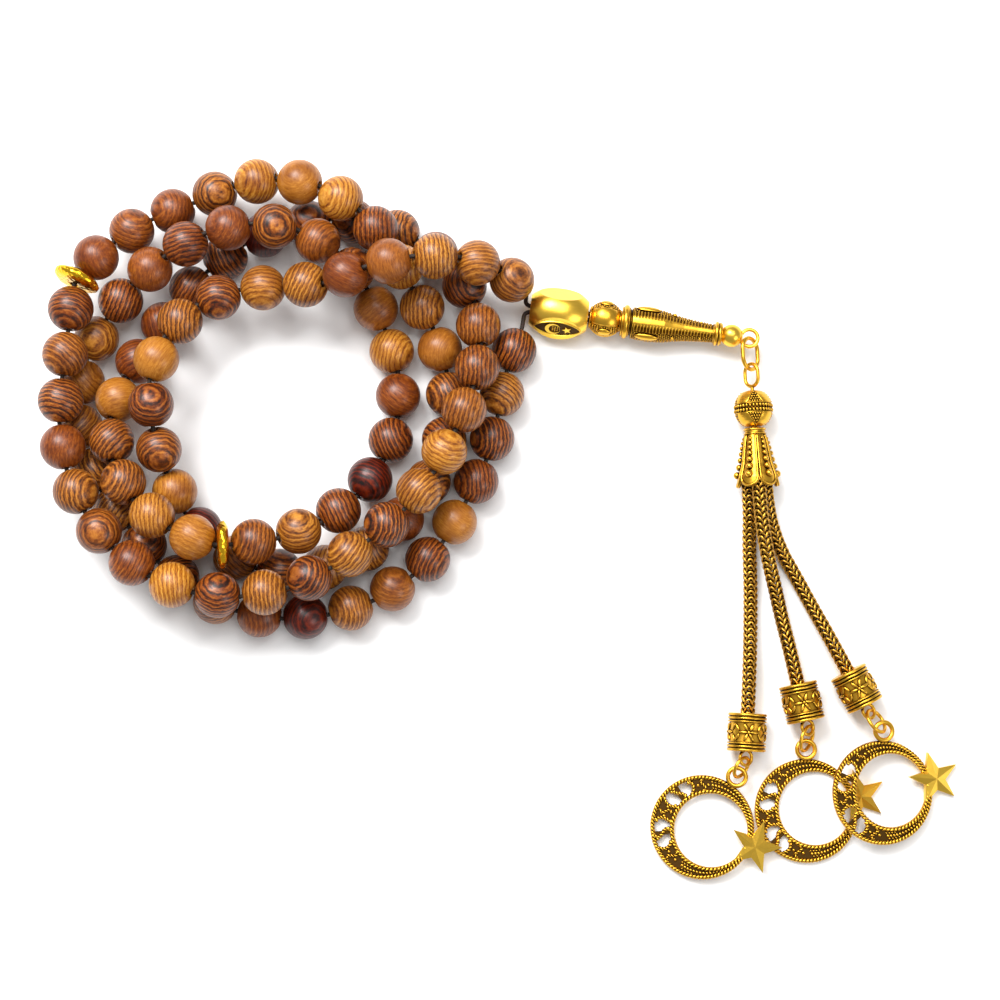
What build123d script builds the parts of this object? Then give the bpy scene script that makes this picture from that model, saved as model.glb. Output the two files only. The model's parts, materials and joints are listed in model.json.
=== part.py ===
"""Misbaha prayer beads lying on a table: 99 wooden beads on a string wound into a ring of four turns,
a gold junction bead, an imame (leader), and a tassel of three woven chains with crescent and star charms.

Millimetres, +Z up, the table at z = 0, the origin under the middle of the whole object.
"""

import math
import os

import numpy as np
from build123d import *

# ---------------------------------------------------------------- driving dimensions
BEAD_ACROSS = 7.85  # diameter of the ball, nominally 8
BEAD_LENGTH = 7.4  # along the hole, between the small flats round its ends
BORE = 1.5  # hole in beads and dividers
BEADS_PER_SECTION = 33
SECTIONS = 3
DIVIDER_ACROSS = 8.4
DIVIDER_LENGTH = 2.0
STRING = 0.75  # string diameter
SLACK = 0.65  # string between neighbours
LEAD = 3.2  # bare string between the junction bead and the first and last beads
CLEAR = 0.51  # least room between beads of different turns
BEND = 0.9  # how far each bend of the string reaches along its two runs

MOUTH_STRAIGHT = 0.9  # the string leaves the junction bead straight for this far
TABLE_GAP = 0.02  # least gap between the table and what lies on it

# How the string's points are settled into place.
ROUNDS = 6000
GUIDED_SHARE = 0.75  # share of the rounds that still follow the guide points
GUIDE_PULL = 0.012  # share of the way to its guide that a point moves in a round
STRAIGHTEN = 0.03  # share of the way to its neighbours' middle
LENGTH_PASSES = 4
LENGTH_FIX = 0.25  # share of a run's error in length put right at each of its ends
SOFT = 0.45  # share of an overlap put right in a round
BESIDE_CLEAR = 0.6  # room for the turn between neighbours

RING_CENTRE = (-36.3, 23.9)
RING_STEP = 30.0  # degrees between two guide points
# Radius and height of the string's middle at each step, one row per turn, anticlockwise from 30 degrees.
TURN_RADII = (
    (41.0, 26.5, 20.0, 19.0, 20.5, 24.0, 24.0, 29.5, 31.5, 29.5, 26.0, 25.5),
    (28.5, 33.0, 35.3, 35.3, 38.5, 39.0, 39.5, 38.0, 34.0, 29.5, 30.0, 30.0),
    (33.0, 28.3, 29.5, 25.0, 26.5, 28.5, 32.0, 28.3, 26.3, 21.5, 19.2, 19.7),
    (22.7, 21.9, 25.2, 28.7, 33.0, 34.5, 36.7, 37.5, 37.5, 34.5, 36.0, 35.5),
)
TURN_HEIGHTS = (
    (9.5, 11.5, 9.0, 5.0, 8.0, 11.5, 10.0, 5.0, 4.0, 4.0, 4.0, 4.0),
    (4.5, 8.0, 8.5, 6.0, 9.0, 11.5, 7.0, 9.0, 11.0, 11.5, 11.5, 11.5),
    (6.0, 5.0, 4.0, 4.0, 4.0, 4.0, 9.5, 11.0, 11.0, 6.0, 4.0, 4.0),
    (4.0, 4.0, 7.0, 11.0, 5.0, 4.0, 4.0, 4.0, 4.0, 4.0, 4.0, 4.0),
)

LEAN = -7.6  # degrees the imame's axis turns from +X
METAL_HEIGHT = 3.6  # height of the metal line's axis above the table
JUNCTION_CENTRE = (10.6, 37.9)
JUNCTION_LENGTH = 10.2
JUNCTION_ACROSS = 8.4
JUNCTION_END = 2.6  # radius at its two ends
JUNCTION_CORNER = 4.6  # radius of its corners at the middle
JUNCTION_FLAT = 3.55  # from its middle line to each of its three faces
JUNCTION_BORE = (3.0, 1.6)  # slot for the two ends of the string
STRAND_GAP = 1.1  # between the middles of the two ends of the string

HEAD_BALL = 6.3
IMAME_BORE = 2.6
IMAME_LENGTH = 17.8
# The body's outline: distance from its wide end, radius.
IMAME_OUTLINE = (
    (0.0, 2.85), (1.0, 2.85), (1.2, 2.4), (1.7, 2.4), (2.0, 2.95), (2.6, 2.95), (2.8, 2.75),
    (5.0, 3.05), (7.0, 2.75), (7.2, 2.95), (7.8, 2.9), (8.0, 2.65), (11.0, 2.1), (13.6, 1.75),
    (13.8, 1.95), (14.3, 1.9), (14.5, 1.65), (16.4, 1.5), (16.6, 2.1), (17.6, 2.1), (17.8, 1.8),
)
IMAME_BORE_STOPS = 5.0  # from the narrow end
IMAME_BORE_TIP = 4.0
BODY_SUNK, END_SUNK = 0.3, 0.25  # how far the head ball and the end ball sit in the body
STRING_INSIDE = 1.0  # how far past the junction bead the string goes
KNOT = 2.0
KNOT_PAST = 0.35
EYE_WIRE = 0.7
EYE_ACROSS = 3.7
END_BALL = 4.0

OVAL_LENGTH, OVAL_WIDTH, OVAL_WIRE = 6.3, 4.8, 0.75
PIN_WIRE = 0.65
PIN_TURN = 2.7  # degrees the tassel's head turns from straight down the page
LOOP_LENGTH, LOOP_WIDTH = 4.6, 3.5
RING_TILT = 45.0  # degrees the oval ring leans one way and the pin's loop the other
HOOKED = 0.95  # how far the pin's loop reaches past the oval ring's wire
ROUND_ACROSS, ROUND_LENGTH = 7.0, 6.3
ROUND_BAND = 0.8  # half the width of its middle band
PIN_SPIN_CLEAR = 0.15
CONE_TOP, CONE_MOUTH, CONE_LENGTH, CONE_WALL = 3.6, 7.2, 10.4, 0.42
# The cone's outline: radius, distance below its top.
CONE_OUTLINE = ((CONE_TOP / 2, 0), (CONE_TOP / 2, 1.2), (CONE_TOP / 2 + 0.35, 2.4), (2.8, 6.4), (3.52, 8.6),
                (CONE_MOUTH / 2, CONE_LENGTH))
CONE_ROOF = 1.4
HOLDER, HOLDER_THICK = 4.6, 0.8  # disc on the pin's end that holds the chains
HOLDER_FROM_MOUTH = 1.4
HOLDER_GAP = 0.3  # between the disc and the chains' ends, which tip a little as they swing
# Heights on the pin, measured from the middle of its loop.
ROUND_Z = -LOOP_LENGTH / 2 - 0.5 - ROUND_LENGTH / 2
CONE_Z = ROUND_Z - ROUND_LENGTH / 2 - 0.3
HOLDER_Z = CONE_Z - CONE_LENGTH + HOLDER_FROM_MOUTH

CHAIN = 2.6
CHAIN_BEND = 0.45  # share of the shorter run that each of a chain's arcs takes up
MOUTH_RUN = 5.5  # straight part of each chain inside and just outside the cone
MOUTH_OFFSETS = ((-1.52, -0.87), (0.0, 1.72), (1.52, -0.87))  # each chain's place on the holder disc
CAP_ACROSS, CAP_LENGTH = 6.8, 6.6
CAP_EYE_OUT = 1.1  # from a cap's lower face to the middle of its eye
SMALL_EYE, SMALL_WIRE = 3.3, 0.6
LINK_WIRE = 0.65
LINK_TILT = 55.0  # degrees each link leans, square to the eye of its cap

CHARM_RADIUS, CHARM_HOLE, CHARM_OFFSET = 9.0, 6.3, 1.6
CHARM_THICK = 1.3
CHARM_EYE, CHARM_EYE_HOLE = 3.9, 2.3
EYE_HEIGHT = 1.25  # height of the eye's middle over the charm's underside, which lets its link pass below
EYE_REACH = 10.6  # from a crescent's middle to its eye
EYE_ANGLE = 75.0  # from the star's direction to the eye's
STAR_REACH, STAR_TIP, STAR_PEAK = 9.7, 4.7, 0.5
STAR_INNER = 0.42  # radius of a star's inner corners, as a share of its points'
STAR_TURN = 18.0

SIDES = ("left", "middle", "right")
# Each chain's route beyond the cone, down to its end cap, chosen by hand.
CHAIN_ROUTES = (
    ((43.9, -2.5, 1.6), (44.1, -9.8, 1.4), (44.0, -17.2, 1.6), (43.6, -24.6, 3.4), (43.2, -32.2, 3.4)),
    ((46.6, -4.5, 4.9), (48.2, -10.6, 3.2), (49.5, -16.0, 1.8), (50.7, -21.6, 3.4), (51.9, -27.1, 3.4)),
    ((49.2, -3.5, 1.5), (52.1, -8.6, 1.4), (54.8, -13.8, 1.6), (57.8, -19.6, 3.4), (60.6, -25.0, 3.4)),
)
CHARM_EYES = ((41.4, -43.2), (53.5, -38.5), (66.5, -35.3))
CHARM_TURNS = (-20.0, 15.0, 14.0)  # direction of each star
CHARM_TILTS = (-5.5, 0.0, 10.0)  # the outer charms lean on the middle one


def unit(v):
    return v / np.linalg.norm(v)


def turned(x, y, degrees):
    """The point (x, y) turned about the origin."""
    a = math.radians(degrees)
    return (x * math.cos(a) - y * math.sin(a), x * math.sin(a) + y * math.cos(a))


def along_imame(distance, side=0.0):
    """A point on the imame's line, measured from the junction bead's middle."""
    x, y = turned(distance, side, LEAN)
    return (JUNCTION_CENTRE[0] + x, JUNCTION_CENTRE[1] + y, METAL_HEIGHT)


def frame_at(origin, axis):
    """A placement whose Z follows axis and whose X is level."""
    axis = Vector(*axis)
    return Plane(origin=tuple(origin), x_dir=Vector(0, 0, 1).cross(axis), z_dir=axis).location


def ring(middle, along, tilt, length, width, wire):
    """A round or oval wire ring, its long way along a level line and its plane tilted about that line."""
    across = Vector(0, 0, 1).cross(along).normalized()
    up = along.cross(across).normalized()
    normal = up * math.cos(math.radians(tilt)) + across * math.sin(math.radians(tilt))
    plane = Plane(origin=middle, x_dir=along, z_dir=normal)
    if length == width:
        return plane.location * Torus((length - wire) / 2, wire / 2)
    path = (plane * SlotOverall(length - wire, width - wire)).wires()[0]
    start = Plane(origin=path @ 0, z_dir=path % 0)
    return sweep(start * Circle(wire / 2), path=path)


# ---------------------------------------------------------------- the ring of beads
def element_lengths():
    """Length of each threaded piece along the string: beads, with a divider between sections."""
    section = [BEAD_LENGTH] * BEADS_PER_SECTION
    lengths = list(section)
    for _ in range(SECTIONS - 1):
        lengths += [DIVIDER_LENGTH] + section
    return lengths


def guide_points(start, end):
    """The string's rough course: out of the junction bead, round the four turns and back."""
    points = [start]
    for radii, heights in zip(TURN_RADII, TURN_HEIGHTS):
        for i, (radius, height) in enumerate(zip(radii, heights)):
            a = math.radians(RING_STEP * (i + 1))
            x = RING_CENTRE[0] + radius * math.cos(a)
            y = RING_CENTRE[1] + radius * math.sin(a)
            points.append((x, y, height))
    points.append(end)
    return np.array(points, float)


def spaced(points, shares):
    """Points on a smooth curve through points, at the given shares of its length."""
    padded = np.vstack([points[0], points, points[-1]])
    fine = []
    for i in range(len(points) - 1):
        a, b, c, d = padded[i : i + 4]
        for t in np.arange(0, 1, 0.02):
            fine.append(0.5 * (2 * b + (c - a) * t + (2 * a - 5 * b + 4 * c - d) * t**2
                               + (3 * b - a - 3 * c + d) * t**3))
    fine = np.array(fine + [points[-1]])
    reach = np.concatenate([[0], np.cumsum(np.linalg.norm(np.diff(fine, axis=0), axis=1))])
    return np.array([[np.interp(s * reach[-1], reach, fine[:, k]) for k in range(3)] for s in shares])


def run_middles(nodes):
    return (nodes[1:] + nodes[:-1]) / 2


def settle(nodes, runs, widths, least, keep_outs):
    """Moves the string's points until runs have their length and no two pieces meet."""
    target = nodes.copy()
    one, other = np.triu_indices(len(runs), 1)
    solid = (widths[one] > 0) & (widths[other] > 0)
    one, other = one[solid], other[solid]
    apart = (widths[one] + widths[other]) / 2 + CLEAR
    beside = other == one + 1
    apart[beside] = least[one[beside]]
    for step in range(ROUNDS):
        if step < ROUNDS * GUIDED_SHARE:
            nodes += GUIDE_PULL * (target - nodes)
            nodes[1:-1] += STRAIGHTEN * (nodes[2:] - 2 * nodes[1:-1] + nodes[:-2])
        for _ in range(LENGTH_PASSES):
            gap = nodes[1:] - nodes[:-1]
            size = np.linalg.norm(gap, axis=1, keepdims=True)
            fix = LENGTH_FIX * gap * (1 - runs[:, None] / size)
            nodes[:-1] += fix
            nodes[1:] -= fix
            nodes[0], nodes[-1] = target[0], target[-1]
        middles = run_middles(nodes)
        push = np.zeros_like(middles)
        gap = middles[other] - middles[one]
        size = np.linalg.norm(gap, axis=1)
        close = size < apart
        move = 0.5 * SOFT * gap[close] * (apart[close] / size[close] - 1)[:, None]
        np.add.at(push, one[close], -move)
        np.add.at(push, other[close], move)
        for centre, reach in keep_outs:
            gap = middles - centre
            size = np.linalg.norm(gap, axis=1)
            near = (size < reach) & (widths > 0)
            push[near] += SOFT * gap[near] * (reach / size[near] - 1)[:, None]
        low = widths / 2 + TABLE_GAP - middles[:, 2]
        push[:, 2] += np.where(low > 0, low, 0)
        nodes[:-1] += push
        nodes[1:] += push
        nodes[0], nodes[-1] = target[0], target[-1]
    return nodes


def string_nodes():
    """The ends of every run of the string, one run through each threaded piece."""
    pieces = np.array([0.0] + element_lengths() + [0.0])
    widths = np.where(pieces > DIVIDER_LENGTH, BEAD_ACROSS, DIVIDER_ACROSS)
    widths[[0, -1]] = 0.0
    runs = pieces + SLACK
    runs[[0, -1]] = LEAD
    least = np.append((pieces[1:] + pieces[:-1]) / 2 + BESIDE_CLEAR, 0)
    start = along_imame(-JUNCTION_LENGTH / 2 - MOUTH_STRAIGHT, STRAND_GAP / 2)
    end = along_imame(-JUNCTION_LENGTH / 2 - MOUTH_STRAIGHT, -STRAND_GAP / 2)
    shares = np.concatenate([[0], np.cumsum(runs)]) / runs.sum()
    nodes = spaced(guide_points(start, end), shares)
    keep_outs = [
        (np.array(along_imame(back)), (JUNCTION_ACROSS + BEAD_ACROSS) / 2 + CLEAR)
        for back in (0.0, -1.0)
    ]
    return settle(nodes, runs, widths, least, keep_outs)


def bead():
    """One bead, its hole along Z."""
    half = BEAD_LENGTH / 2
    flat = math.sqrt((BEAD_ACROSS / 2) ** 2 - half**2)
    with BuildPart() as built:
        with BuildSketch(Plane.XZ):
            with BuildLine():
                Polyline((flat, -half), (BORE / 2, -half), (BORE / 2, half), (flat, half))
                ThreePointArc((flat, half), (BEAD_ACROSS / 2, 0), (flat, -half))
            make_face()
        revolve(axis=Axis.Z)
    return built.part


def divider():
    """One gold divider: a disc that thins towards its rim, its hole along Z."""
    half = DIVIDER_LENGTH / 2
    rim = DIVIDER_ACROSS / 2
    with BuildPart() as built:
        with BuildSketch(Plane.XZ):
            with BuildLine():
                Polyline((rim - 0.9, -half), (BORE / 2, -half), (BORE / 2, half), (rim - 0.9, half))
                Polyline((rim - 0.9, half), (rim, 0.45), (rim, -0.45), (rim - 0.9, -half))
            make_face()
        revolve(axis=Axis.Z)
    return built.part


def tube(points, diameter, reach=None):
    """A round rod along straight runs joined by arcs, which reach this far along their runs."""
    places = [Vector(*p) for p in points]
    radii = []
    for a, b, c in zip(places, places[1:], places[2:]):
        turn = math.radians((b - a).get_angle(c - b))
        room = reach if reach else CHAIN_BEND * min((b - a).length, (c - b).length)
        radii.append(room / math.tan(turn / 2))
    path = FilletPolyline(*places, radius=radii)
    start = Plane(origin=places[0], z_dir=places[1] - places[0])
    return sweep(start * Circle(diameter / 2), path=path)


# ---------------------------------------------------------------- junction bead and imame
def junction_bead():
    """A barrel with three faces, one of them down. Its slot takes both ends of the string."""
    half = JUNCTION_LENGTH / 2
    with BuildPart() as built:
        with BuildSketch(Plane.XZ):
            with BuildLine():
                Polyline((JUNCTION_END, -half), (0, -half), (0, half), (JUNCTION_END, half))
                ThreePointArc((JUNCTION_END, half), (JUNCTION_CORNER, 0), (JUNCTION_END, -half))
            make_face()
        revolve(axis=Axis.Z)
        cut = 2 * JUNCTION_CORNER
        for k in range(3):
            with Locations(Location((0, 0, 0), (0, 0, 30 + 120 * k))
                           * Location((JUNCTION_FLAT + cut / 2, 0, 0))):
                Box(cut, 2 * cut, 2 * JUNCTION_LENGTH, mode=Mode.SUBTRACT)
        with BuildSketch(Plane.XY.offset(-half)):
            SlotOverall(*JUNCTION_BORE)
        extrude(amount=JUNCTION_LENGTH, mode=Mode.SUBTRACT)
    return built.part


def head_ball():
    with BuildPart() as built:
        Sphere(HEAD_BALL / 2)
        Cylinder(IMAME_BORE / 2, HEAD_BALL + 1, mode=Mode.SUBTRACT)
    return built.part


def imame_body():
    """The leader's body, along Z from its wide collar to its narrow one, with raised bands."""
    with BuildPart() as built:
        with BuildSketch(Plane.XZ):
            with BuildLine():
                Polyline((IMAME_BORE / 2, 0), *[(r, z) for z, r in IMAME_OUTLINE], (0, IMAME_LENGTH))
                Polyline((0, IMAME_LENGTH), (0, IMAME_LENGTH - IMAME_BORE_TIP),
                         (IMAME_BORE / 2, IMAME_LENGTH - IMAME_BORE_STOPS), (IMAME_BORE / 2, 0))
            make_face()
        revolve(axis=Axis.Z)
    return built.part


def end_ball(trim):
    """A ball with a small flat towards -Z, where it meets the imame's collar."""
    radius = END_BALL / 2
    low = trim - radius
    edge = math.sqrt(radius**2 - low**2)
    with BuildPart() as built:
        with BuildSketch(Plane.XZ):
            with BuildLine():
                Polyline((0, radius), (0, low), (edge, low))
                ThreePointArc((edge, low), (radius, 0), (0, radius))
            make_face()
        revolve(axis=Axis.Z)
    return built.part


# ---------------------------------------------------------------- head of the tassel
def pin():
    """The straight pin down -Z from its loop, and the disc on its end inside the cone."""
    top = -(LOOP_LENGTH - PIN_WIRE) / 2
    down = (Align.CENTER, Align.CENTER, Align.MAX)
    foot = HOLDER_Z + HOLDER_GAP
    rod = Pos(0, 0, top) * Cylinder(PIN_WIRE / 2, top - foot, align=down)
    up = (Align.CENTER, Align.CENTER, Align.MIN)
    disc = Pos(0, 0, foot) * Cylinder(HOLDER / 2, HOLDER_THICK, align=up)
    return rod + disc


def round_bead():
    """The bead that turns on the pin: smooth lobes with two rows of beading round the middle."""
    half = ROUND_LENGTH / 2
    with BuildPart() as built:
        with BuildSketch(Plane.XZ):
            with BuildLine():
                bore = PIN_WIRE / 2 + PIN_SPIN_CLEAR
                Polyline((1.5, -half), (bore, -half), (bore, half), (1.5, half))
                ThreePointArc((1.5, half), (2.75, half * 0.78), (3.2, 1.0))
                Polyline((3.2, 1.0), (ROUND_ACROSS / 2, ROUND_BAND), (ROUND_ACROSS / 2, -ROUND_BAND),
                         (3.2, -1.0))
                ThreePointArc((3.2, -1.0), (2.75, -half * 0.78), (1.5, -half))
            make_face()
        revolve(axis=Axis.Z)
    return built.part


def cone_cap():
    """A hollow flared cap, its mouth down."""
    outline = [(r, -z) for r, z in CONE_OUTLINE]
    inside = [(r - CONE_WALL, z) for r, z in outline[2:]]
    bore = PIN_WIRE / 2 + 0.02
    with BuildPart() as built:
        with BuildSketch(Plane.XZ):
            with BuildLine():
                Polyline((bore, 0), *outline, *reversed(inside), (inside[0][0], -CONE_ROOF),
                         (bore, -CONE_ROOF), close=True)
            make_face()
        revolve(axis=Axis.Z)
    return built.part


# ---------------------------------------------------------------- chains, caps and charms
def end_cap():
    """A capped sleeve round the chain's end, along Z with its eye below."""
    half = CAP_LENGTH / 2
    wide = CAP_ACROSS / 2
    with BuildPart() as built:
        with BuildSketch(Plane.XZ):
            with BuildLine():
                Polyline((0, -half), (wide, -half), (wide, -half + 0.6), (wide - 0.25, -half + 0.75),
                         (wide, -half + 0.9), (wide, -half + 1.5), (wide - 0.3, -half + 1.7),
                         (wide - 0.3, half - 1.7), (wide, half - 1.5), (wide, half - 0.9),
                         (wide - 0.25, half - 0.75), (wide, half - 0.6), (wide, half), (0, half), close=True)
            make_face()
        revolve(axis=Axis.Z)
    return built.part


def star():
    """A five-pointed faceted star, its peak up."""
    points = []
    for i in range(10):
        radius = STAR_TIP if i % 2 == 0 else STAR_TIP * STAR_INNER
        a = math.radians(36 * i)
        points.append((radius * math.cos(a), radius * math.sin(a)))
    base = extrude(make_face(Polyline(*points, close=True)), CHARM_THICK)
    top = [Vector(x, y, CHARM_THICK) for x, y in points]
    peak = Vector(0, 0, CHARM_THICK + STAR_PEAK)
    faces = [Face(Wire.make_polygon([a, b, peak])) for a, b in zip(top, top[1:] + top[:1])]
    faces.append(Face(Wire.make_polygon(top)))
    return base + Solid(Shell(faces))


def charm():
    """A ring with an off-centre hole, a star over its thin side and an eye, lying on z = 0."""
    body = Cylinder(CHARM_RADIUS, CHARM_THICK, align=(Align.CENTER, Align.CENTER, Align.MIN))
    hole = Cylinder(CHARM_HOLE, CHARM_THICK * 3)
    body -= Pos(CHARM_OFFSET, 0, 0) * hole
    x, y = turned(EYE_REACH, 0, EYE_ANGLE)
    wire = (CHARM_EYE - CHARM_EYE_HOLE) / 4
    body += Pos(x, y, EYE_HEIGHT) * Torus(CHARM_EYE / 2 - wire, wire)
    return body + Pos(STAR_REACH, 0, 0) * star().rotate(Axis.Z, STAR_TURN)


def charm_places():
    """Each charm's placement and the middle of its eye's hole."""
    flat = charm()
    places = []
    for (x, y), turn, tilt in zip(CHARM_EYES, CHARM_TURNS, CHARM_TILTS):
        ex, ey = turned(EYE_REACH, 0, EYE_ANGLE)
        place = Pos(x, y, 0) * Rot(0, tilt, 0) * Rot(0, 0, turn) * Pos(-ex, -ey, 0)
        lift = TABLE_GAP - (place * flat).bounding_box().min.Z
        place = Pos(0, 0, lift) * place
        eye = (place * Location((ex, ey, EYE_HEIGHT))).position
        places.append((place, eye))
    return flat, places


def build():
    nodes = {}
    points = string_nodes()
    middles = (points[2:-1] + points[1:-2]) / 2
    axes = [unit(b - a) for a, b in zip(points[1:], points[2:-1])]
    one_bead, one_divider = bead(), divider()
    beads, dividers = [], []
    bead_middles, bead_axes, divider_lines = [], [], []
    for i, (middle, axis) in enumerate(zip(middles, axes)):
        place = frame_at(middle, axis)
        if (i + 1) % (BEADS_PER_SECTION + 1) == 0:
            dividers.append(place * one_divider)
            divider_lines.append((middle, axis))
        else:
            beads.append(place * one_bead)
            bead_middles.append(middle)
            bead_axes.append(axis)
    for i in range(BEADS_PER_SECTION):
        nodes[f"bead_{i + 1:02d}"] = beads[i]
    nodes["beads_second"] = Compound(beads[BEADS_PER_SECTION : 2 * BEADS_PER_SECTION])
    nodes["beads_third"] = Compound(beads[2 * BEADS_PER_SECTION :])
    for i, piece in enumerate(dividers):
        nodes[f"divider_{i + 1}"] = piece

    inside = JUNCTION_LENGTH / 2 + STRING_INSIDE
    start = np.array(along_imame(inside, STRAND_GAP / 2))
    end = np.array(along_imame(inside, -STRAND_GAP / 2))
    route = np.vstack([start, points, end])
    nodes["string"] = tube(route, STRING, BEND)

    line = (math.cos(math.radians(LEAN)), math.sin(math.radians(LEAN)), 0)
    nodes["junction_bead"] = frame_at(along_imame(0), line) * junction_bead()
    head = JUNCTION_LENGTH / 2 + HEAD_BALL / 2 - 0.05
    nodes["imame_head"] = frame_at(along_imame(head), line) * head_ball()
    body = head + HEAD_BALL / 2 - BODY_SUNK
    nodes["imame_body"] = frame_at(along_imame(body), line) * imame_body()
    nodes["knot"] = Pos(*along_imame(inside + KNOT_PAST + KNOT / 2)) * Sphere(KNOT / 2)
    ball = body + IMAME_LENGTH + END_BALL / 2 - END_SUNK
    line = Vector(*line)
    eye = Vector(*along_imame(ball + END_BALL / 2 + EYE_ACROSS / 2 - EYE_WIRE))
    end_eye = ring(eye, line, 0, EYE_ACROSS, EYE_ACROSS, EYE_WIRE)
    nodes["end_ball"] = frame_at(along_imame(ball), line) * end_ball(END_SUNK) + end_eye

    down = turned(0, -1, PIN_TURN)
    down = Vector(down[0], down[1], 0)
    oval = eye + down * ((OVAL_LENGTH - OVAL_WIRE) / 2)
    nodes["oval_ring"] = ring(oval, down, RING_TILT, OVAL_LENGTH, OVAL_WIDTH, OVAL_WIRE)
    loop = oval + down * ((OVAL_LENGTH - OVAL_WIRE) / 2 + (LOOP_LENGTH - PIN_WIRE) / 2 - HOOKED)
    head_place = frame_at(loop, -down)
    nodes["eye_pin"] = head_place * pin() + ring(loop, down, -RING_TILT, LOOP_LENGTH, LOOP_WIDTH, PIN_WIRE)
    nodes["round_bead"] = head_place * Pos(0, 0, ROUND_Z) * round_bead()
    nodes["cone_cap"] = head_place * Pos(0, 0, CONE_Z) * cone_cap()
    lines = {
        "imame": (Vector(*along_imame(inside)), (0, 0, 1)),
        "oval_ring": (eye, (0, 0, 1)),
        "eye_pin": (oval + down * ((OVAL_LENGTH - OVAL_WIRE) / 2), (0, 0, 1)),
        "round_bead": ((head_place * Location((0, 0, ROUND_Z))).position, tuple(-down)),
    }
    for i in range(BEADS_PER_SECTION):
        lines[f"bead_{i + 1:02d}"] = (Vector(*bead_middles[i]), tuple(bead_axes[i]))
    for i, (middle, axis) in enumerate(divider_lines):
        lines[f"divider_{i + 1}"] = (Vector(*middle), tuple(axis))

    flat, places = charm_places()
    holder = (head_place * Location((0, 0, HOLDER_Z))).position
    across = Vector(0, 0, 1).cross(down)
    for side, offset, route, (place, charm_eye) in zip(SIDES, MOUTH_OFFSETS, CHAIN_ROUTES, places):
        start = holder + across * offset[0] + Vector(0, 0, offset[1])
        course = [tuple(start), tuple(start + down * MOUTH_RUN)] + list(route)
        nodes[f"chain_{side}"] = tube(course, CHAIN)
        end = Vector(*course[-1])
        aim = (end - Vector(*course[-2])).normalized()
        cap = end + aim * (CAP_LENGTH / 2)
        cap_eye = cap + aim * (CAP_LENGTH / 2 + CAP_EYE_OUT)
        nodes[f"end_cap_{side}"] = frame_at(cap, -aim) * end_cap() + ring(
            cap_eye, aim, LINK_TILT - 90, SMALL_EYE, SMALL_EYE, SMALL_WIRE)
        reach = (charm_eye - cap_eye).length
        nodes[f"link_{side}"] = ring((cap_eye + charm_eye) * 0.5, (charm_eye - cap_eye).normalized(),
                                     LINK_TILT, reach + LINK_WIRE, reach + LINK_WIRE, LINK_WIRE)
        nodes[f"charm_{side}"] = place * flat
        lines[f"chain_{side}"] = (start, (0, 0, 1))
        lines[f"link_{side}"] = (cap_eye, (0, 0, 1))
        top = (place * Location((0, 0, 1))).position - (place * Location((0, 0, 0))).position
        lines[f"charm_{side}"] = (charm_eye, tuple(top))
    return nodes, lines


def write(nodes, lines):
    boxes = [shape.bounding_box() for shape in nodes.values()]
    low_x, low_y = min(b.min.X for b in boxes), min(b.min.Y for b in boxes)
    high_x, high_y = max(b.max.X for b in boxes), max(b.max.Y for b in boxes)
    home = Pos(-(low_x + high_x) / 2, -(low_y + high_y) / 2, 0)
    os.makedirs("parts", exist_ok=True)
    for name, shape in nodes.items():
        export_step(home * shape, f"parts/{name}.step")
    for name, (point, axis) in lines.items():
        moved = home * Location(tuple(point))
        print("line", name, [round(v, 4) for v in moved.position], [round(v, 6) for v in axis])
    print("size", high_x - low_x, high_y - low_y, "moved by", home.position)


write(*build())
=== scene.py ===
"""The misbaha's looks: striped wooden beads, antique gold fittings, woven chains and filigree charms,
lying on a white table under soft light. Lengths here are in millimetres and become metres in add()."""

import json
import math
import random

import bmesh
import bpy
from mathutils import Matrix, Vector


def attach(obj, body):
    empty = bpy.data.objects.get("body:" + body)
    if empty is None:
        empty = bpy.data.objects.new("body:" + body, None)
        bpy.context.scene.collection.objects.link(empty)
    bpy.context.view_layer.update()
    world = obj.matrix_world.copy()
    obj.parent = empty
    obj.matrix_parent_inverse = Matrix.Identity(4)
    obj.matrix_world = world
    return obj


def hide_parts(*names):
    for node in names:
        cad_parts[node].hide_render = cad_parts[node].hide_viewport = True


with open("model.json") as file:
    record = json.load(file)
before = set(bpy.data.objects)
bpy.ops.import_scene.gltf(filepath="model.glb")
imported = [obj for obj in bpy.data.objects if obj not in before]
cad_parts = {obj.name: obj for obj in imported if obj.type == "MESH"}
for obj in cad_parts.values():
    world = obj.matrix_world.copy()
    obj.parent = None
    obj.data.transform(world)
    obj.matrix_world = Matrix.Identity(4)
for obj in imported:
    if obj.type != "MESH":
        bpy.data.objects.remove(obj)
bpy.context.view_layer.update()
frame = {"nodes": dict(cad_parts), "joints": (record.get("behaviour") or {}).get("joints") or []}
JOINTS = {j["name"]: j for j in frame["joints"]}
MM = 0.001
UP = Vector((0, 0, 1))
SIDES = ("left", "middle", "right")

# Sizes of the real pieces, as in the CAD model.
BEAD_ACROSS, BEAD_LENGTH, BORE = 7.85, 7.4, 1.5
DIVIDER_ACROSS, DIVIDER_LENGTH = 8.4, 2.0
HEAD_BALL = 6.3
IMAME_LENGTH = 17.8
ROUND_ACROSS, ROUND_LENGTH = 7.0, 6.3
CAP_ACROSS, CAP_LENGTH = 6.8, 6.6
CHARM_RADIUS, CHARM_HOLE, CHARM_OFFSET, CHARM_THICK = 9.0, 6.3, 1.6, 1.3
EYE_REACH, EYE_ANGLE, EYE_HEIGHT = 10.6, 75.0, 1.25
LINK_TILT = 55.0
STAR_REACH, STAR_TIP, STAR_PEAK, STAR_TURN = 9.7, 4.7, 0.5, 18.0
CHARM_TURNS = (-20.0, 15.0, 14.0)
CHARM_TILTS = (-5.5, 0.0, 10.0)
MIDDLE_EYE = (53.5, -38.5)
MOUTH_RUN = 5.5
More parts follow.
